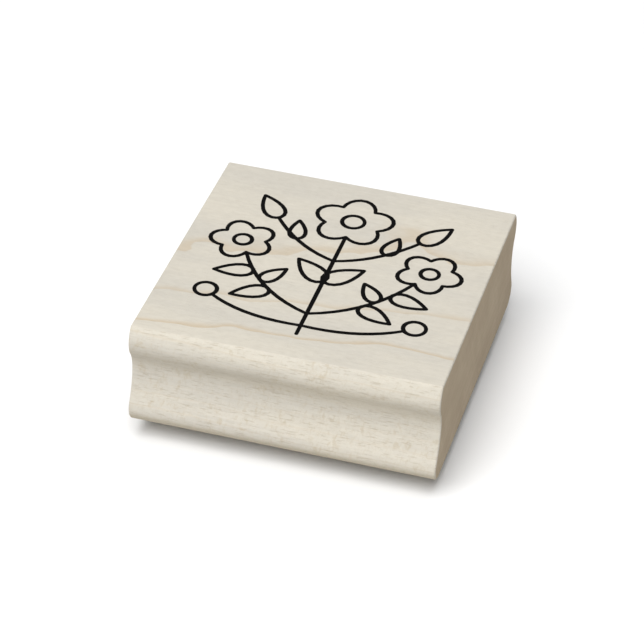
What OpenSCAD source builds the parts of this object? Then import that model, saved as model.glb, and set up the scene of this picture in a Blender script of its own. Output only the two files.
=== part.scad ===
// Wood-mounted rubber art stamp: a grooved hardwood block with an index print on top,
// and a cushioned rubber die, trimmed round its drawing, glued under it.
// Millimetres. +Z up, +X to the right, +Y to the back. The origin is centred under the block,
// on the printing face of the die, which is what the stamp stands on.

/* [Block] */
// Length of moulding that the block is cut from, along X
block_w = 75; // [74:1:90]
// Depth over the two lower lips, along Y
lip_depth = 79.8; // [77:0.2:90]
// Thickness of the block
block_h = 27.3; // [25.5:0.1:28.4]
// How far the upper bead stands back from the lip, on each side
bead_setback = 0.5; // [0.3:0.1:1]
// How far the bottom of the finger groove stands back from the lip, on each side
groove_setback = 2.9; // [2.6:0.1:3.4]

/* [Moulded edge] */
// Radius of the upper bead
bead_r = 6; // [5.5:0.5:6.5]
// Radius of the lower lip
lip_r = 4.1; // [3.8:0.1:4.4]
// Radius of the groove above its deepest line
groove_upper_r = 8; // [7:0.5:9]
// Radius of the groove below its deepest line
groove_lower_r = 18; // [16:1:19]
// Sanded rounding of the edge between the top and the bead
ease_r = 0.5; // [0.3:0.1:1.2]

/* [Die and cushion] */
// Thickness of each adhesive film
film_t = 0.1; // [0.05:0.05:0.2]
// Thickness of the foam cushion
foam_t = 2.4; // [1.6:0.1:3.2]
// Thickness of the rubber behind the relief
rubber_t = 1; // [0.8:0.1:1.5]
// Height of the relief's wider foot
foot_t = 0.4; // [0.2:0.1:0.6]
// Height of the printing lines above the foot
line_t = 0.6; // [0.4:0.1:1]
// How far the foot stands out on each side of a line
foot_out = 0.25; // [0.1:0.05:0.4]
// Rubber left round the outside of the drawing
trim = 2.2; // [1.5:0.1:3]
// Radius of the inner bends of the trimmed outline
trim_r = 13; // [10:1:16]

/* [Drawing] */
// Width of a line at its middle
line_w = 1.1; // [0.8:0.05:1.2]
// Width at a line's ends, as a part of its width at the middle
line_taper = 0.86; // [0.6:0.02:1]
// Thickness of the ink of the index print
ink_t = 0.06; // [0.04:0.02:0.1]

/* [Hidden] */

$fn = 96;

// Levels, from the printing face up
line_z = line_t;
relief_z = line_z + foot_t;
die_top_z = relief_z + rubber_t;
foam_z = die_top_z + film_t;
foam_top_z = foam_z + foam_t;
block_z = foam_top_z + film_t;

// Half profile of the moulding: y outwards, z up from the block's underside.
// Each arc is tangent to the next one, from the lip up to the flat top.
lip_y = lip_depth / 2 - lip_r;
bead_y = lip_depth / 2 - bead_setback - bead_r;
groove_y = lip_depth / 2 - groove_setback;
lower_y = groove_y + groove_lower_r;
upper_y = groove_y + groove_upper_r;
groove_z = lip_r + sqrt(pow(groove_lower_r + lip_r, 2) - pow(lower_y - lip_y, 2));
bead_z = groove_z + sqrt(pow(groove_upper_r + bead_r, 2) - pow(upper_y - bead_y, 2));
ease_z = block_h - ease_r;
ease_y = bead_y + sqrt(pow(bead_r - ease_r, 2) - pow(ease_z - bead_z, 2));

// Centres of the arcs, and the points where they meet
lip_c = [lip_y, lip_r];
lower_c = [lower_y, groove_z];
upper_c = [upper_y, groove_z];
bead_c = [bead_y, bead_z];
ease_c = [ease_y, ease_z];
groove_deep = [groove_y, groove_z];
lip_meet = lip_c + lip_r * unit(lower_c - lip_c);
bead_meet = bead_c + bead_r * unit(upper_c - bead_c);
ease_meet = bead_c + bead_r * unit(ease_c - bead_c);

// The drawing: [start, bend, end] of its middle stem, and [centre, radius, turn] of the blossom on top
middle_stem = [[0, -28.5], [0, -8], [0, 14]];
top_blossom = [[0, 21], 10, 54];
// The rest is the same on both sides of the middle stem. [start, bend, end] of each side stem
SIDE_STEMS = [
    [[0, -20], [14, -15], [21.1, 0]], [[0, 3], [10, 6], [18, 17]],
    [[0, -25], [14, -26], [23.5, -19.5]],
];
// [base, direction, length] of each leaf
SIDE_LEAVES = [
    [[18, 17], 55, 10.5], [[11.3, 9.5], 80, 8], [[0, -6], 42, 11],
    [[11.2, -13.5], -28, 9.5], [[14.3, -10.4], 125, 8], [[17.1, -6.9], -15, 9.5],
];
// [centre, radius, turn] of the side blossom, and [centre, radius] of the berry
side_blossom = [[23.5, 5], 8, 29];
berry = [[25.6, -17.8], 2.7];

// Shape of a leaf: its width over its length, and the height of the curve that gives that width
leaf_ratio = 0.5;
leaf_peak = 0.77;
// Shape of a blossom: how many lobes, how deep they are, and its eye's radius over its own
lobes = 5;
lobe_depth = 0.3;
eye = 0.28;
// Points along a stem, a leaf and a lobe, round a ring, and round a line's end
stem_n = 9;
leaf_n = 19;
lobe_n = 9;
ring_n = 22;
cap_n = 12;
// Points round a full turn of the trimmed outline's arcs
trim_n = 40;
// How far the line work is grown and shrunk back, to fill the sharp notches between lines
notch = 0.2;

block_color = [0.86, 0.81, 0.72];
ink_color = [0.03, 0.03, 0.03];
film_color = [0.88, 0.86, 0.78];
foam_color = [0.90, 0.90, 0.88];
rubber_color = [0.55, 0.20, 0.15];

function unit(v) = v / norm(v);
function turned(v, a) = [v[0] * cos(a) - v[1] * sin(a), v[0] * sin(a) + v[1] * cos(a)];
function placed(path, at, a) = [for (p = path) at + turned(p, a)];
function stem_path(s) =
    [for (i = [0:stem_n]) let (t = i / stem_n)
        (1 - t) * (1 - t) * s[0] + 2 * t * (1 - t) * s[1] + t * t * s[2]];
function ring_path(r) = [for (i = [0:ring_n]) let (a = 360 * i / ring_n) r * [cos(a), sin(a)]];
// A leaf runs from its tip, round its base at the origin, and back to its tip
function leaf_path(l, w, n) =
    [for (i = [0:n]) let (a = 360 * i / n)
        [l * (1 + cos(a)) / 2, w / 2 / leaf_peak * sin(a) * sin(a / 2)]];
function lobe_path(r, k) =
    [for (i = [0:lobe_n]) let (u = i / lobe_n, a = 360 * (k + u) / lobes)
        r * (1 - lobe_depth + lobe_depth * sin(180 * u)) * [cos(a), sin(a)]];
function along(path, i) = unit(path[min(i + 1, len(path) - 1)] - path[max(i - 1, 0)]);
// Half width of a line, u from 0 at its start to 1 at its end
function pen(u) = line_w / 2 * (line_taper + (1 - line_taper) * sin(180 * u));
function edge(path, side) =
    let (last = len(path) - 1)
    [for (i = [0:last]) path[i] + side * pen(i / last) * turned(along(path, i), 90)];
function reversed(path) = [for (i = [len(path) - 1:-1:0]) path[i]];

// One line of the drawing, with round ends
module stroke(path) {
    polygon(concat(edge(path, 1), reversed(edge(path, -1))));
    for (p = [path[0], path[len(path) - 1]])
        translate(p) circle(r = pen(0), $fn = cap_n);
}

module blossom(at, r, turn) {
    for (k = [0:lobes - 1]) stroke(placed(lobe_path(r, k), at, turn));
    stroke(placed(ring_path(eye * r), at, 0));
}

module side_work() {
    for (s = SIDE_STEMS) stroke(stem_path(s));
    for (l = SIDE_LEAVES) stroke(placed(leaf_path(l[2], l[2] * leaf_ratio, leaf_n), l[0], l[1]));
    blossom(side_blossom[0], side_blossom[1], side_blossom[2]);
    stroke(placed(ring_path(berry[1]), berry[0], 0));
}

module line_work() {
    offset(delta = -notch) offset(delta = notch) {
        stroke(stem_path(middle_stem));
        blossom(top_blossom[0], top_blossom[1], top_blossom[2]);
        side_work();
        mirror([1, 0]) side_work();
    }
}

// The outline that the die and its cushion are trimmed to
module trimmed_outline() {
    offset(r = -trim_r, $fn = trim_n) offset(r = trim_r + trim, $fn = trim_n) line_work();
}

// Part of a disc between two of its points, to join to a straight-sided core
module sector(c, r, from, to) {
    intersection() {
        translate(c) circle(r = r);
        polygon([c, c + 2 * r * unit(from - c), c + 2 * r * unit(from + to - 2 * c),
            c + 2 * r * unit(to - c)]);
    }
}

// Half disc of the groove, above its deepest line for side 1 and below it for side -1
module groove(c, r, side) {
    intersection() {
        translate(c) circle(r = r);
        translate(c + [-2 * r, side > 0 ? 0 : -2 * r]) square([4 * r, 2 * r]);
    }
}

// The moulding's section, z up from the block's underside
module block_section() {
    edge_points = [[lip_y, 0], lip_c, lip_meet, groove_deep, bead_meet, bead_c, ease_meet,
        ease_c, [ease_y, block_h]];
    difference() {
        union() {
            polygon(concat(edge_points, [for (p = reversed(edge_points)) [-p[0], p[1]]]));
            for (side = [0, 1]) mirror([side, 0]) {
                sector(lip_c, lip_r, [lip_y, 0], lip_meet);
                sector(bead_c, bead_r, bead_meet, ease_meet);
                sector(ease_c, ease_r, ease_meet, [ease_y, block_h]);
            }
        }
        for (side = [0, 1]) mirror([side, 0]) {
            groove(lower_c, groove_lower_r, -1);
            groove(upper_c, groove_upper_r, 1);
        }
    }
}

module wood_block() {
    color(block_color) translate([0, 0, block_z])
        rotate([90, 0, 90]) linear_extrude(height = block_w, center = true) block_section();
}

module index_print() {
    color(ink_color) translate([0, 0, block_z + block_h]) linear_extrude(height = ink_t) line_work();
}

module block_tape() {
    color(film_color) translate([0, 0, foam_top_z]) linear_extrude(height = film_t) trimmed_outline();
}

module foam_cushion() {
    color(foam_color) translate([0, 0, foam_z]) linear_extrude(height = foam_t) trimmed_outline();
}

module die_tape() {
    color(film_color) translate([0, 0, die_top_z]) linear_extrude(height = film_t) trimmed_outline();
}

module rubber_die() {
    color(rubber_color) {
        linear_extrude(height = relief_z) line_work();
        translate([0, 0, line_z]) linear_extrude(height = foot_t) offset(delta = foot_out) line_work();
        translate([0, 0, relief_z]) linear_extrude(height = rubber_t) trimmed_outline();
    }
}

wood_block();
index_print();
block_tape();
foam_cushion();
die_tape();
rubber_die();
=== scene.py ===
"""The looks of a wood-mounted rubber stamp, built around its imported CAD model. Metres, row frame."""
import math

import bmesh
import bpy
import numpy as np
from mathutils import Matrix, Vector
from mathutils.geometry import delaunay_2d_cdt
from mathutils.noise import noise as perlin, voronoi


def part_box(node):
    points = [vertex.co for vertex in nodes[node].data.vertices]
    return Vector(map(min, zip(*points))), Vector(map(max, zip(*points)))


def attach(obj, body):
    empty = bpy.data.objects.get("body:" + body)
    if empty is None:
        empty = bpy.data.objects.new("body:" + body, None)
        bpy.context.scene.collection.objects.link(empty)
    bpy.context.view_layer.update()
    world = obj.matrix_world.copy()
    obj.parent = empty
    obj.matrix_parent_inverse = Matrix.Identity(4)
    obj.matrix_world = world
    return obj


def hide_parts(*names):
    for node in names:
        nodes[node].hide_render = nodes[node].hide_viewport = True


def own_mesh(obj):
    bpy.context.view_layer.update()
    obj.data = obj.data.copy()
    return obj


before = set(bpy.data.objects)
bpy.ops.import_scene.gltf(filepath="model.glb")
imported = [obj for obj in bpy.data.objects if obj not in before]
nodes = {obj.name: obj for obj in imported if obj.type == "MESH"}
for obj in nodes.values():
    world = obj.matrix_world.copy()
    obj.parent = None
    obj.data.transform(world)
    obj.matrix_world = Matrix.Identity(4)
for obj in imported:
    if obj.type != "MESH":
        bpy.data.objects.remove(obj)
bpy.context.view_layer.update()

MM = 0.001
scene = bpy.context.scene

block_low, block_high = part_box("wood_block")
block_size = block_high - block_low
block_centre = (block_low + block_high) / 2


# ---------------------------------------------------------------- mesh helpers

def add_object(name, bm, *materials):
    """A mesh object from bmesh data, with smooth faces and area-weighted normals."""
    bmesh.ops.recalc_face_normals(bm, faces=bm.faces)
    mesh = bpy.data.meshes.new(name)
    bm.to_mesh(mesh)
    bm.free()
    for polygon in mesh.polygons:
        polygon.use_smooth = True
    for material in materials:
        mesh.materials.append(material)
    piece = bpy.data.objects.new(name, mesh)
    scene.collection.objects.link(piece)
    weighted = piece.modifiers.new("flat faces stay flat", "WEIGHTED_NORMAL")
    weighted.keep_sharp = True
    return piece


def arc(centre, radius, start, end, step):
    """Points (y, z) along an arc from one angle to another, in radians, about step apart."""
    count = max(2, round(abs(end - start) * radius / step))
    angles = [start + (end - start) * i / count for i in range(count + 1)]
    return [(centre[0] + radius * math.cos(a), centre[1] + radius * math.sin(a)) for a in angles]


def angle_to(centre, point):
    return math.atan2(point[1] - centre[1], point[0] - centre[0]) % (2 * math.pi)


def outward(points):
    """Unit normals of a closed outline that runs anticlockwise."""
    count = len(points)
    normals = []
    for i in range(count):
        before, after = points[i - 1], points[(i + 1) % count]
        along = Vector((after[0] - before[0], after[1] - before[1])).normalized()
        normals.append((along.y, -along.x))
    return normals


# ---------------------------------------------------------------- shader helpers

def new_material(name):
    material = bpy.data.materials.new(name)
    material.use_nodes = True
    tree = material.node_tree
    tree.nodes.clear()
    output = tree.nodes.new("ShaderNodeOutputMaterial")
    shader = tree.nodes.new("ShaderNodeBsdfPrincipled")
    tree.links.new(shader.outputs["BSDF"], output.inputs["Surface"])
    return material, tree, shader


def put(tree, socket, value):
    """Sets a socket to a number or a colour, or links it to another socket."""
    if isinstance(value, bpy.types.NodeSocket):
        tree.links.new(value, socket)
    elif hasattr(socket.default_value, "__len__") and not hasattr(value, "__len__"):
        socket.default_value = [value] * len(socket.default_value)
    elif hasattr(value, "__len__") and len(value) < len(socket.default_value):
        socket.default_value = [*value, 1.0]
    else:
        socket.default_value = value


def maths(tree, operation, a, b=0.0, c=0.0, clamp=False):
    node = tree.nodes.new("ShaderNodeMath")
    node.operation = operation
    node.use_clamp = clamp
    for socket, value in zip(node.inputs, (a, b, c)):
        put(tree, socket, value)
    return node.outputs[0]


def stretched(tree, point, scale, shift=(0.0, 0.0, 0.0)):
    """The point in millimetres, scaled and shifted along each axis."""
    node = tree.nodes.new("ShaderNodeMapping")
    put(tree, node.inputs["Vector"], point)
    node.inputs["Scale"].default_value = scale
    node.inputs["Location"].default_value = shift
    return node.outputs["Vector"]


def in_millimetres(tree):
    coordinates = tree.nodes.new("ShaderNodeTexCoord")
    return stretched(tree, coordinates.outputs["Object"], (1 / MM,) * 3)


def noise(tree, point, scale=1.0, detail=2.0, rough=0.5, distortion=0.0):
    node = tree.nodes.new("ShaderNodeTexNoise")
    put(tree, node.inputs["Vector"], point)
    node.inputs["Scale"].default_value = scale
    node.inputs["Detail"].default_value = detail
    node.inputs["Roughness"].default_value = rough
    node.inputs["Distortion"].default_value = distortion
    return node.outputs["Fac"]


def cells(tree, point):
    """Voronoi cells: the distance from each cell's centre, and a random number for the cell."""
    node = tree.nodes.new("ShaderNodeTexVoronoi")
    put(tree, node.inputs["Vector"], point)
    node.inputs["Scale"].default_value = 1.0
    parts = tree.nodes.new("ShaderNodeSeparateColor")
    tree.links.new(node.outputs["Color"], parts.inputs["Color"])
    return node.outputs["Distance"], parts.outputs["Red"]


def remap(tree, value, low, high, to_low=0.0, to_high=1.0, smooth=True):
    node = tree.nodes.new("ShaderNodeMapRange")
    node.interpolation_type = "SMOOTHSTEP" if smooth else "LINEAR"
    for socket, number in zip(("Value", "From Min", "From Max", "To Min", "To Max"),
                              (value, low, high, to_low, to_high)):
        put(tree, node.inputs[socket], number)
    return node.outputs["Result"]


def mix(tree, factor, a, b, blend="MIX"):
    node = tree.nodes.new("ShaderNodeMix")
    node.data_type = "RGBA"
    node.blend_type = blend
    colours = [s for s in node.inputs if s.type == "RGBA"]
    put(tree, node.inputs[0], factor)
    put(tree, colours[0], a)
    put(tree, colours[1], b)
    return [s for s in node.outputs if s.type == "RGBA"][0]


def bump(tree, shader, height, distance):
    node = tree.nodes.new("ShaderNodeBump")
    put(tree, node.inputs["Height"], height)
    node.inputs["Distance"].default_value = distance
    tree.links.new(node.outputs["Normal"], shader.inputs["Normal"])


# ---------------------------------------------------------------- maple

# Growth rings: where the tree's pith lies from the middle of the block's top, and their spacing, in mm
PITH = (31.0, -280.0)
RING_SPACING = 2.8
RING_DRIFT = 0.022
PALE_WOOD = (0.558, 0.522, 0.448)
GREY_WOOD = (0.516, 0.487, 0.428)
RING_COLOUR = (0.460, 0.352, 0.222)
FLECK_COLOUR = (0.405, 0.325, 0.205)
FIBRE_COLOUR = (0.330, 0.270, 0.190)
# The colour of the painted shade on the moulding's down-facing faces
PAINTED_SHADE_COLOUR = (0.370, 0.318, 0.228)
END_WOOD = (0.478, 0.394, 0.284)
END_DARK = (0.430, 0.348, 0.246)
END_RING = (0.350, 0.276, 0.188)
SAW_SLANT = math.radians(62)
# How far above the underside the painted shade on the lower lip starts, and where it is darkest, in mm
PAINTED_SHADE_FROM = 3.8
PAINTED_SHADE_TO = 2.0


def ring_phase(tree, point):
    """How far through its growth ring a point lies, from 0 to 1, and the ring's number."""
    top = block_high.z / MM
    axes = tree.nodes.new("ShaderNodeSeparateXYZ")
    put(tree, axes.inputs[0], point)
    across = maths(tree, "SUBTRACT", axes.outputs["Y"], PITH[0])
    height = maths(tree, "SUBTRACT", axes.outputs["Z"], PITH[1] + top)
    radius = maths(tree, "SQRT", maths(tree, "ADD", maths(tree, "MULTIPLY", across, across),
                                       maths(tree, "MULTIPLY", height, height)))
    wander = noise(tree, stretched(tree, point, (0.035, 0.05, 0.05), (3.1, 0.7, 1.9)), detail=2.0)
    ripple = noise(tree, stretched(tree, point, (0.12, 0.16, 0.16), (8.3, 2.2, 4.1)), detail=2.0)
    radius = maths(tree, "MULTIPLY_ADD", axes.outputs["X"], RING_DRIFT, radius)
    radius = maths(tree, "MULTIPLY_ADD", wander, 2.6, radius)
    radius = maths(tree, "MULTIPLY_ADD", ripple, 0.5, radius)
    rings = maths(tree, "DIVIDE", radius, RING_SPACING)
    return maths(tree, "FRACT", rings), maths(tree, "FLOOR", rings)


def ring_lines(tree, point):
    """Thin late-wood lines: each fades in, then stops sharply at the ring's edge."""
    phase, number = ring_phase(tree, point)
    rise = remap(tree, phase, 0.78, 0.985)
    stop = remap(tree, phase, 0.985, 0.999, 1.0, 0.0)
    white = tree.nodes.new("ShaderNodeTexWhiteNoise")
    white.noise_dimensions = "1D"
    put(tree, white.inputs["W"], number)
    weight = remap(tree, white.outputs["Value"], 0.0, 1.0, 0.6, 1.0)
    line = maths(tree, "MULTIPLY", maths(tree, "POWER", rise, 2.2), stop)
    return maths(tree, "MULTIPLY", line, weight)


def edge_grain(tree, point):
    """Ray flecks, which stand across the grain in loose groups on the block's moulded sides."""
    wander = noise(tree, point, scale=0.9, detail=1.0)
    moved = tree.nodes.new("ShaderNodeVectorMath")
    moved.operation = "ADD"
    put(tree, moved.inputs[0], point)
    put(tree, moved.inputs[1], maths(tree, "MULTIPLY", wander, 0.9))
    point = moved.outputs[0]
    groups = remap(tree, noise(tree, stretched(tree, point, (0.10, 0.2, 0.14)), detail=2.0), 0.40, 0.60)
    long = remap(tree, noise(tree, stretched(tree, point, (1.0, 1.0, 0.40)), detail=2.0), 0.50, 0.72)
    small = noise(tree, stretched(tree, point, (2.2, 2.2, 0.9), (5.0, 2.0, 9.0)), detail=2.0)
    short = maths(tree, "MULTIPLY", remap(tree, small, 0.52, 0.70), 0.45)
    return maths(tree, "ADD", maths(tree, "MULTIPLY", long, groups), short, clamp=True)


def maple_side():
    """Bare sanded maple along the grain: growth rings, fibres, ray flecks and pores, with painted shade on
    down-facing faces.
    """
    material, tree, shader = new_material("maple along the grain")
    point = in_millimetres(tree)
    facing = tree.nodes.new("ShaderNodeSeparateXYZ")
    put(tree, facing.inputs[0], tree.nodes.new("ShaderNodeTexCoord").outputs["Normal"])
    upright = remap(tree, maths(tree, "ABSOLUTE", facing.outputs["Z"]), 0.75, 0.98, 1.0, 0.0)
    # How far a face points down, which sets the painted shade further on
    down_facing_shade = remap(tree, facing.outputs["Z"], 0.15, -0.45)
    cloud = noise(tree, stretched(tree, point, (0.02, 0.07, 0.12)), detail=3.0)
    colour = mix(tree, remap(tree, cloud, 0.35, 0.65), GREY_WOOD, PALE_WOOD)
    streak = noise(tree, stretched(tree, point, (0.05, 1.5, 1.5), (1.0, 5.0, 2.0)), detail=5.0, rough=0.6)
    mottle = noise(tree, stretched(tree, point, (0.5, 0.9, 0.9), (4.0, 6.0, 1.0)), detail=3.0, rough=0.6)
    depth = remap(tree, upright, 0.0, 1.0, 0.10, 0.18)
    streak_tone = maths(tree, "MULTIPLY_ADD", maths(tree, "SUBTRACT", streak, 0.5), depth, 1.0)
    tone = maths(tree, "MULTIPLY", streak_tone, remap(tree, mottle, 0.3, 0.7, 0.965, 1.03, smooth=False))
    colour = mix(tree, 1.0, colour, tone, "MULTIPLY")
    lines = maths(tree, "MULTIPLY", ring_lines(tree, point), remap(tree, upright, 0.0, 1.0, 0.60, 0.22))
    colour = mix(tree, lines, colour, RING_COLOUR)
    fleck = maths(tree, "MULTIPLY", edge_grain(tree, point), remap(tree, upright, 0.0, 1.0, 0.05, 0.36))
    colour = mix(tree, fleck, colour, FLECK_COLOUR)
    thread = noise(tree, stretched(tree, point, (0.38, 3.6, 3.6), (2.0, 4.0, 6.0)), detail=3.0, rough=0.5)
    thread = remap(tree, thread, 0.57, 0.68)
    fibres = maths(tree, "MULTIPLY", thread, remap(tree, upright, 0.0, 1.0, 0.08, 0.40))
    colour = mix(tree, fibres, colour, FIBRE_COLOUR)
    # Painted shade: down-facing faces are darkened, most strongly on the lower lip near the underside
    place = tree.nodes.new("ShaderNodeSeparateXYZ")
    put(tree, place.inputs[0], point)
    underside = block_low.z / MM
    painted_shade = remap(tree, place.outputs["Z"], underside + PAINTED_SHADE_FROM, underside + PAINTED_SHADE_TO, 0.30, 0.66)
    colour = mix(tree, maths(tree, "MULTIPLY", down_facing_shade, painted_shade), colour, PAINTED_SHADE_COLOUR)
    put(tree, shader.inputs["Base Color"], colour)
    height = maths(tree, "SUBTRACT", streak, maths(tree, "MULTIPLY", thread, 0.8))
    bump(tree, shader, height, 0.03 * MM)
    put(tree, shader.inputs["Roughness"], remap(tree, streak, 0.3, 0.7, 0.82, 0.72))
    shader.inputs["Specular IOR Level"].default_value = 0.15
    return material


def maple_end():
    """Sawn end grain: darker, with faint growth rings, short rays and the marks left by the saw."""
    material, tree, shader = new_material("maple end grain")
    point = in_millimetres(tree)
    cloud = noise(tree, stretched(tree, point, (0.1, 0.08, 0.12)), detail=3.0)
    colour = mix(tree, remap(tree, cloud, 0.3, 0.7), END_WOOD, END_DARK)
    colour = mix(tree, maths(tree, "MULTIPLY", ring_lines(tree, point), 0.5), colour, END_RING)
    ray = noise(tree, stretched(tree, point, (0.3, 2.6, 0.34)), detail=3.0, distortion=0.4)
    pith_ray = noise(tree, stretched(tree, point, (0.3, 6.5, 0.9), (1.0, 3.0, 5.0)), detail=2.0)
    tone = maths(tree, "MULTIPLY", remap(tree, ray, 0.3, 0.7, 0.975, 1.022, smooth=False),
                 remap(tree, pith_ray, 0.3, 0.7, 0.975, 1.022, smooth=False))
    colour = mix(tree, 1.0, colour, tone, "MULTIPLY")
    slant = tree.nodes.new("ShaderNodeVectorRotate")
    slant.rotation_type = "X_AXIS"
    slant.inputs["Angle"].default_value = SAW_SLANT
    put(tree, slant.inputs["Vector"], point)
    marks = noise(tree, stretched(tree, slant.outputs[0], (0.3, 0.035, 0.75)), detail=3.0, rough=0.6)
    colour = mix(tree, 1.0, colour, remap(tree, marks, 0.3, 0.7, 0.975, 1.02, smooth=False), "MULTIPLY")
    put(tree, shader.inputs["Base Color"], colour)
    grain = noise(tree, stretched(tree, point, (5.0, 5.0, 5.0)), detail=3.0)
    height = maths(tree, "ADD", maths(tree, "MULTIPLY", marks, 0.6), grain)
    bump(tree, shader, height, 0.04 * MM)
    shader.inputs["Roughness"].default_value = 0.85
    shader.inputs["Specular IOR Level"].default_value = 0.12
    return material


# ---------------------------------------------------------------- the wood block

# The moulding's section, as in the CAD model
LIP_R = 4.1 * MM
BEAD_R = 6.0 * MM
GROOVE_UPPER_R = 8.0 * MM
GROOVE_LOWER_R = 18.0 * MM
EASE_R = 0.5 * MM
BEAD_SETBACK = 0.5 * MM
GROOVE_SETBACK = 2.9 * MM
ARC_STEP = 0.25 * MM
END_ROUNDING = 0.45 * MM
END_STEPS = 5


def moulding_outline():
    """The block's section as (y, z) points, anticlockwise seen along -X, z from its underside."""
    half, height = block_size.y / 2, block_size.z
    lip = (half - LIP_R, LIP_R)
    bead_y = half - BEAD_SETBACK - BEAD_R
    groove_y = half - GROOVE_SETBACK
    lower_y, upper_y = groove_y + GROOVE_LOWER_R, groove_y + GROOVE_UPPER_R
    groove_z = LIP_R + math.sqrt((GROOVE_LOWER_R + LIP_R) ** 2 - (lower_y - lip[0]) ** 2)
    bead_z = groove_z + math.sqrt((GROOVE_UPPER_R + BEAD_R) ** 2 - (upper_y - bead_y) ** 2)
    ease_z = height - EASE_R
    ease_y = bead_y + math.sqrt((BEAD_R - EASE_R) ** 2 - (ease_z - bead_z) ** 2)
    lower, upper, bead, ease = (lower_y, groove_z), (upper_y, groove_z), (bead_y, bead_z), (ease_y, ease_z)
    half_turn = math.pi
    side = arc(lip, LIP_R, -half_turn / 2, angle_to(lip, lower), ARC_STEP)
    side += arc(lower, GROOVE_LOWER_R, angle_to(lower, lip), half_turn, ARC_STEP)[1:]
    side += arc(upper, GROOVE_UPPER_R, half_turn, angle_to(upper, bead), ARC_STEP)[1:]
    start = angle_to(bead, upper)
    if start > half_turn:
        start -= 2 * half_turn
    side += arc(bead, BEAD_R, start, angle_to(bead, ease), ARC_STEP)[1:]
    side += arc(ease, EASE_R, angle_to(bead, ease), half_turn / 2, ARC_STEP / 2)[1:]
    return side + [(-y, z) for y, z in reversed(side)]


def make_block():
    outline = moulding_outline()
    normals = outward(outline)
    bm = bmesh.new()
    rings = []
    sections = []
    for step in range(END_STEPS + 1):
        angle = math.pi / 2 * step / END_STEPS
        back_off = END_ROUNDING * (1 - math.cos(angle))
        sections.append((block_size.x / 2 - back_off, END_ROUNDING * (1 - math.sin(angle))))
    places = [(-x, inset) for x, inset in sections] + [(x, inset) for x, inset in reversed(sections)]
    for x, inset in places:
        ring = []
        for (y, z), (ny, nz) in zip(outline, normals):
            ring.append(bm.verts.new((block_centre.x + x, block_centre.y + y - ny * inset,
                                      block_low.z + z - nz * inset)))
        rings.append(ring)
    count = len(outline)
    for a, b in zip(rings, rings[1:]):
        for i in range(count):
            j = (i + 1) % count
            bm.faces.new((a[i], a[j], b[j], b[i]))
    for ring in (rings[0], rings[-1]):
        bm.faces.new(ring).material_index = 1
    return add_object("wood_block_detailed", bm, maple_side(), maple_end())


block = make_block()
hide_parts("wood_block")
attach(block, "mounted_block")


# ---------------------------------------------------------------- ink, films, foam and rubber

def give(node, material):
    nodes[node].data.materials.clear()
    nodes[node].data.materials.append(material)


def black_ink():
    material, tree, shader = new_material("index ink")
    point = in_millimetres(tree)
    soak = noise(tree, stretched(tree, point, (0.4, 5.0, 5.0)), detail=3.0)
    put(tree, shader.inputs["Base Color"], mix(tree, remap(tree, soak, 0.35, 0.75), (0.0020, 0.0020, 0.0020),
                                               (0.0055, 0.0052, 0.0050)))
    put(tree, shader.inputs["Roughness"], remap(tree, soak, 0.3, 0.7, 0.72, 0.9))
    bump(tree, shader, soak, 0.02 * MM)
    shader.inputs["Specular IOR Level"].default_value = 0.05
    return material


def film_finish():
    material, tree, shader = new_material("adhesive film")
    point = in_millimetres(tree)
    haze = noise(tree, point, scale=0.8, detail=3.0)
    put(tree, shader.inputs["Base Color"], mix(tree, remap(tree, haze, 0.3, 0.7), (0.66, 0.61, 0.47),
                                               (0.76, 0.72, 0.60)))
    put(tree, shader.inputs["Roughness"], remap(tree, haze, 0.3, 0.7, 0.25, 0.45))
    bump(tree, shader, noise(tree, point, scale=3.0, detail=2.0), 0.01 * MM)
    return material


def foam_finish():
    """Closed-cell foam: pale skin between small cells that the knife has cut open, with painted shade
    darkening the open cells.
    """
    material, tree, shader = new_material("cushion foam")
    point = in_millimetres(tree)
    distance, chance = cells(tree, stretched(tree, point, (3.6, 3.6, 4.2)))
    fine_distance, _ = cells(tree, stretched(tree, point, (8.0, 8.0, 8.0), (3.0, 1.0, 2.0)))
    hollow_depth_and_shade = remap(tree, distance, 0.05, 0.5, 1.0, 0.0)
    hollow_depth_and_shade = maths(tree, "MULTIPLY", hollow_depth_and_shade, remap(tree, chance, 0.2, 0.9, 0.3, 1.0))
    pinholes = remap(tree, fine_distance, 0.05, 0.45, 1.0, 0.0)
    hollow_depth_and_shade = maths(tree, "MULTIPLY_ADD", pinholes, 0.3, hollow_depth_and_shade, clamp=True)
    # The open cells and pinholes are darker in colour: painted shade in the hollows, which also set the bump
    put(tree, shader.inputs["Base Color"], mix(tree, hollow_depth_and_shade, (0.80, 0.79, 0.75), (0.56, 0.55, 0.51)))
    bump(tree, shader, hollow_depth_and_shade, -0.08 * MM)
    shader.inputs["Roughness"].default_value = 0.9
    shader.inputs["Specular IOR Level"].default_value = 0.15
    return material


def rubber_finish():
    """Brick-red moulded rubber with a faint bloom and a fine moulding texture."""
    material, tree, shader = new_material("die rubber")
    point = in_millimetres(tree)
    bloom = noise(tree, point, scale=0.12, detail=4.0, rough=0.6)
    speck = noise(tree, point, scale=6.0, detail=3.0)
    colour = mix(tree, remap(tree, bloom, 0.35, 0.7), (0.330, 0.075, 0.045), (0.390, 0.115, 0.075))
    colour = mix(tree, 1.0, colour, remap(tree, speck, 0.3, 0.7, 0.93, 1.06, smooth=False), "MULTIPLY")
    put(tree, shader.inputs["Base Color"], colour)
    put(tree, shader.inputs["Roughness"], remap(tree, bloom, 0.3, 0.7, 0.52, 0.66))
    bump(tree, shader, speck, 0.025 * MM)
    shader.inputs["Specular IOR Level"].default_value = 0.4
    return material


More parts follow.
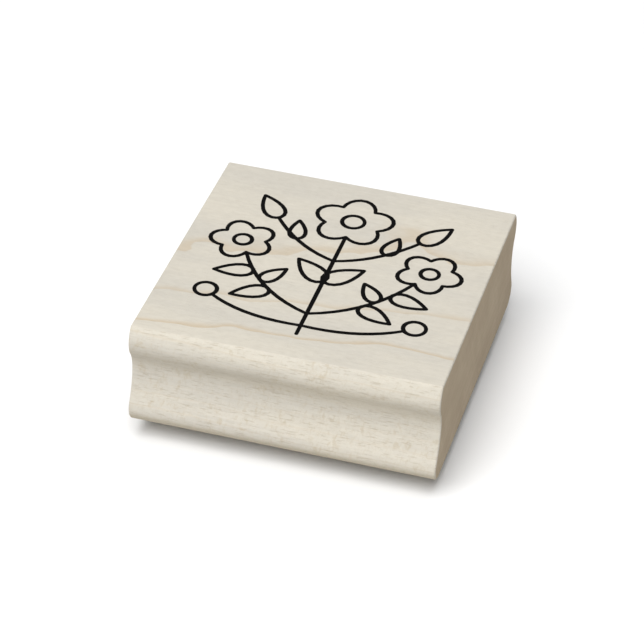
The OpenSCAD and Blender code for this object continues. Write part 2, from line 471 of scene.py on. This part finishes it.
def level_loops(node, level):
    """The closed outlines, as lists of (x, y) in mm, of a CAD node's flat faces at one height."""
    bm = bmesh.new()
    bm.from_mesh(nodes[node].data)
    bmesh.ops.remove_doubles(bm, verts=bm.verts, dist=0.0002 * MM)
    flat = {face for face in bm.faces if all(abs(v.co.z - level) < 0.001 * MM for v in face.verts)}
    beside = {}
    for edge in bm.edges:
        if sum(face in flat for face in edge.link_faces) == 1:
            a, b = edge.verts
            beside.setdefault(a, []).append(b)
            beside.setdefault(b, []).append(a)
    loops = []
    left = dict.fromkeys(beside)
    while left:
        corner = next(iter(left))
        loop = []
        while corner is not None:
            loop.append((corner.co.x / MM, corner.co.y / MM))
            del left[corner]
            corner = next((v for v in beside[corner] if v in left), None)
        loops.append(thinned(loop))
    bm.free()
    return loops


def thinned(loop):
    """A loop without the points that crowd the one before them."""
    kept = [loop[0]]
    for place in loop[1:]:
        if min(math.dist(place, kept[-1]), math.dist(place, kept[0])) > LEAST_STEP:
            kept.append(place)
    return kept


def segments(loops):
    starts = np.array([point for loop in loops for point in loop])
    ends = np.array([point for loop in loops for point in loop[1:] + loop[:1]])
    return starts, ends


def inside(points, starts, ends):
    """Which points lie within the loops, counting crossings to the right of each."""
    x, y = points[:, :1], points[:, 1:]
    low, high = starts[:, 1], ends[:, 1]
    crosses = (low > y) != (high > y)
    rise = np.where(high == low, 1.0, high - low)
    meets = starts[:, 0] + (y - low) / rise * (ends[:, 0] - starts[:, 0])
    return (crosses & (x < meets)).sum(1) % 2 == 1


def distance_to(points, starts, ends):
    along = ends - starts
    length = np.maximum((along ** 2).sum(1), 1e-12)
    nearest = np.full(len(points), np.inf)
    for i in range(0, len(points), DISTANCE_BATCH):
        part = points[i:i + DISTANCE_BATCH, None, :]
        share = np.clip(((part - starts) * along).sum(2) / length, 0.0, 1.0)
        gap = part - starts - share[..., None] * along
        nearest[i:i + DISTANCE_BATCH] = np.sqrt((gap ** 2).sum(2)).min(1)
    return nearest


def moved_out(loop, amount, starts, ends):
    """A loop moved away from the inked side by an amount in mm."""
    normals = outward(loop)
    middle = np.array(loop[0]) + (np.array(loop[1]) - np.array(loop[0])) / 2
    along = np.array(loop[1]) - np.array(loop[0])
    probe = middle + np.array((along[1], -along[0])) / np.linalg.norm(along) * PROBE
    sign = -1.0 if inside(probe[None], starts, ends)[0] else 1.0
    return [(x + sign * amount * nx, y + sign * amount * ny) for (x, y), (nx, ny) in zip(loop, normals)]


# How the moulded relief falls away from each printing line: distance from the line and depth, in mm
SHOULDER = ((0.0, 0.0), (0.07, 0.36), (0.17, 0.68), (0.34, 0.90), (0.62, 1.0))
DISTANCE_BATCH = 500
LEAST_STEP = 0.04
PROBE = 0.01
SHEET_ROUNDING = 0.12
SHEET_SLANT = 0.10
SHARP_ANGLE = math.radians(38)


def anticlockwise(loop):
    area = sum(a[0] * b[1] - b[0] * a[1] for a, b in zip(loop, loop[1:] + loop[:1]))
    return loop if area > 0 else loop[::-1]


def pulled_in(loop, normals, inset):
    return [(x - nx * inset, y - ny * inset) for (x, y), (nx, ny) in zip(loop, normals)]


def make_die():
    """The rubber die: printing lines with moulded shoulders, on a backing sheet with a trimmed edge."""
    low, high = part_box("rubber_die")
    lines = level_loops("rubber_die", low.z)
    rim = anticlockwise(level_loops("die_tape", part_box("die_tape")[0].z)[0])
    rim_normals = outward(rim)
    starts, ends = segments(lines)
    rings = [pulled_in(rim, rim_normals, SHEET_ROUNDING)] + lines
    rings += [moved_out(loop, out, starts, ends) for out, _ in SHOULDER[1:] for loop in lines]
    points, edges = [], []
    for ring in rings:
        first, count = len(points), len(ring)
        points += [Vector(point) for point in ring]
        edges += [(first + i, first + (i + 1) % count) for i in range(count)]
    found, _, faces, sources, _, _ = delaunay_2d_cdt(points, edges, [], 0, 1e-5)
    flat = np.array([tuple(point) for point in found])
    reach = np.where(inside(flat, starts, ends), 0.0, distance_to(flat, starts, ends))
    depth = np.interp(reach, [out for out, _ in SHOULDER], [down for _, down in SHOULDER])
    within = inside(np.array([flat[list(face)].mean(0) for face in faces]), *segments(rings[:1]))
    bm = bmesh.new()
    verts = [bm.verts.new((x * MM, y * MM, low.z + z * MM)) for (x, y), z in zip(flat, depth)]
    for face, kept in zip(faces, within):
        if kept:
            bm.faces.new([verts[i] for i in face])
    edge_of_relief = {source: verts[i] for i, from_points in enumerate(sources) for source in from_points}
    last = [edge_of_relief[i] for i in range(len(rim))]
    sheet_z = low.z + SHOULDER[-1][1] * MM
    wall = ((SHEET_ROUNDING * 0.3, sheet_z + SHEET_ROUNDING * 0.3 * MM), (0.0, sheet_z + SHEET_ROUNDING * MM),
            (SHEET_SLANT, high.z))
    for inset, z in wall:
        ring = [bm.verts.new((x * MM, y * MM, z)) for x, y in pulled_in(rim, rim_normals, inset)]
        join_rings(bm, last, ring)
        last = ring
    bm.faces.new(last)
    bmesh.ops.delete(bm, geom=[v for v in bm.verts if not v.link_faces], context="VERTS")
    die = add_object("rubber_die_moulded", bm, rubber_finish())
    die.data.set_sharp_from_angle(angle=SHARP_ANGLE)
    return die


def join_rings(bm, a, b):
    for i in range(len(a)):
        j = (i + 1) % len(a)
        bm.faces.new((a[i], a[j], b[j], b[i]))


# The foam's cut edge, in mm: how finely it is modelled, how far its middle draws in, over what length that
# varies, and the size and depth of its cells. A cell's mouth is a share of its size
FOAM_STEP = 0.22
FOAM_ROWS = 11
FOAM_WAIST = 0.16
DRIFT_LENGTH = 9.0
CELL_SIZE = 0.55
CELL_MOUTH = 0.55
CELL_DEPTH = 0.11


def make_foam():
    """The foam cushion: a cut edge that draws in between its two glued faces, with open cells."""
    low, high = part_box("foam_cushion")
    rim = anticlockwise(level_loops("foam_cushion", low.z)[0])
    fine = []
    for a, b in zip(rim, rim[1:] + rim[:1]):
        count = max(1, round(math.dist(a, b) / FOAM_STEP))
        fine += [(a[0] + (b[0] - a[0]) * i / count, a[1] + (b[1] - a[1]) * i / count) for i in range(count)]
    normals = outward(fine)
    bm = bmesh.new()
    rings = []
    for row in range(FOAM_ROWS + 1):
        share = row / FOAM_ROWS
        z = low.z + (high.z - low.z) * share
        free = 4 * share * (1 - share)
        ring = []
        for (x, y), (nx, ny) in zip(fine, normals):
            place = Vector((x, y, z / MM)) / CELL_SIZE
            near = voronoi(place)[0][0]
            drift = 0.5 + 0.5 * perlin(Vector((x, y, 0.0)) / DRIFT_LENGTH)
            cell = CELL_DEPTH * max(0.0, 1 - (near / CELL_MOUTH) ** 2)
            inset = free * (FOAM_WAIST * (0.7 + 0.6 * drift) + cell)
            ring.append(bm.verts.new(((x - nx * inset) * MM, (y - ny * inset) * MM, z)))
        rings.append(ring)
    for a, b in zip(rings, rings[1:]):
        join_rings(bm, a, b)
    bm.faces.new(rings[0])
    bm.faces.new(rings[-1])
    return add_object("foam_cushion_cut", bm, foam_finish())


give("index_print", black_ink())
give("block_tape", film_finish())
give("die_tape", film_finish())

foam = make_foam()
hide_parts("foam_cushion")
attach(foam, "mounted_block")
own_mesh(foam)

die = make_die()
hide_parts("rubber_die")
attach(die, "printing_die")


# ---------------------------------------------------------------- floor, light and camera

FLOOR_REACH = 3.0
LIGHT_DISTANCE, LIGHT_SIZE = 3.0, 2.8


def floor_finish():
    material, tree, shader = new_material("studio floor")
    point = in_millimetres(tree)
    tooth = noise(tree, point, scale=0.5, detail=2.0)
    put(tree, shader.inputs["Base Color"], mix(tree, tooth, (0.825, 0.825, 0.825), (0.835, 0.835, 0.835)))
    shader.inputs["Roughness"].default_value = 0.9
    shader.inputs["Specular IOR Level"].default_value = 0.1
    return material


def make_floor():
    bm = bmesh.new()
    bmesh.ops.create_grid(bm, x_segments=2, y_segments=2, size=FLOOR_REACH)
    floor = add_object("floor", bm, floor_finish())


def direction(azimuth, elevation):
    """Unit vector towards something at that azimuth and elevation, in degrees. Azimuth 0 is the front."""
    a, e = math.radians(azimuth), math.radians(elevation)
    return Vector((math.sin(a) * math.cos(e), -math.cos(a) * math.cos(e), math.sin(e)))


def soft_light(name, azimuth, elevation, power):
    """A big round lamp, LIGHT_DISTANCE from the block and LIGHT_SIZE across."""
    light = bpy.data.lights.new(name, "AREA")
    light.shape = "DISK"
    light.size = LIGHT_SIZE
    light.energy = power
    lamp = bpy.data.objects.new(name, light)
    scene.collection.objects.link(lamp)
    towards = direction(azimuth, elevation)
    lamp.location = block_centre + towards * LIGHT_DISTANCE
    lamp.rotation_mode = "QUATERNION"
    lamp.rotation_quaternion = towards.to_track_quat("Z", "Y")


CAMERA_AZIMUTH, CAMERA_ELEVATION, CAMERA_ROLL = 14.79, 35.63, 2.23
CAMERA_DISTANCE = 0.651
CAMERA_LENS, SENSOR = 150.05, 36.0
AIM_SHIFT = Vector((-0.60 * MM, -3.26 * MM, -0.28 * MM))


def make_camera():
    """The camera looks at a point just in front of the block's middle, turned a little about its own axis."""
    data = bpy.data.cameras.new("camera")
    data.lens, data.sensor_width = CAMERA_LENS, SENSOR
    data.clip_start, data.clip_end = 0.01, 20.0
    camera = bpy.data.objects.new("camera", data)
    scene.collection.objects.link(camera)
    back = direction(CAMERA_AZIMUTH, CAMERA_ELEVATION)
    turn = math.radians(CAMERA_AZIMUTH)
    right = Vector((math.cos(turn), math.sin(turn), 0.0))
    up = back.cross(right)
    roll = math.radians(CAMERA_ROLL)
    across = math.cos(roll) * right + math.sin(roll) * up
    upward = math.cos(roll) * up - math.sin(roll) * right
    camera.matrix_world = Matrix.Translation(block_centre + AIM_SHIFT + back * CAMERA_DISTANCE) @ \
        Matrix((across, upward, back)).transposed().to_4x4()
    scene.camera = camera


def make_world(strength):
    world = bpy.data.worlds.new("studio")
    world.use_nodes = True
    background = world.node_tree.nodes["Background"]
    background.inputs["Color"].default_value = (1.0, 1.0, 1.0, 1.0)
    background.inputs["Strength"].default_value = strength
    scene.world = world


make_floor()
make_world(0.1)
soft_light("key", -12.0, 56.0, 116.0)
soft_light("overhead", 0.0, 88.0, 30.0)
soft_light("back fill", 175.0, 30.0, 16.0)
make_camera()
scene.view_settings.view_transform = "Standard"
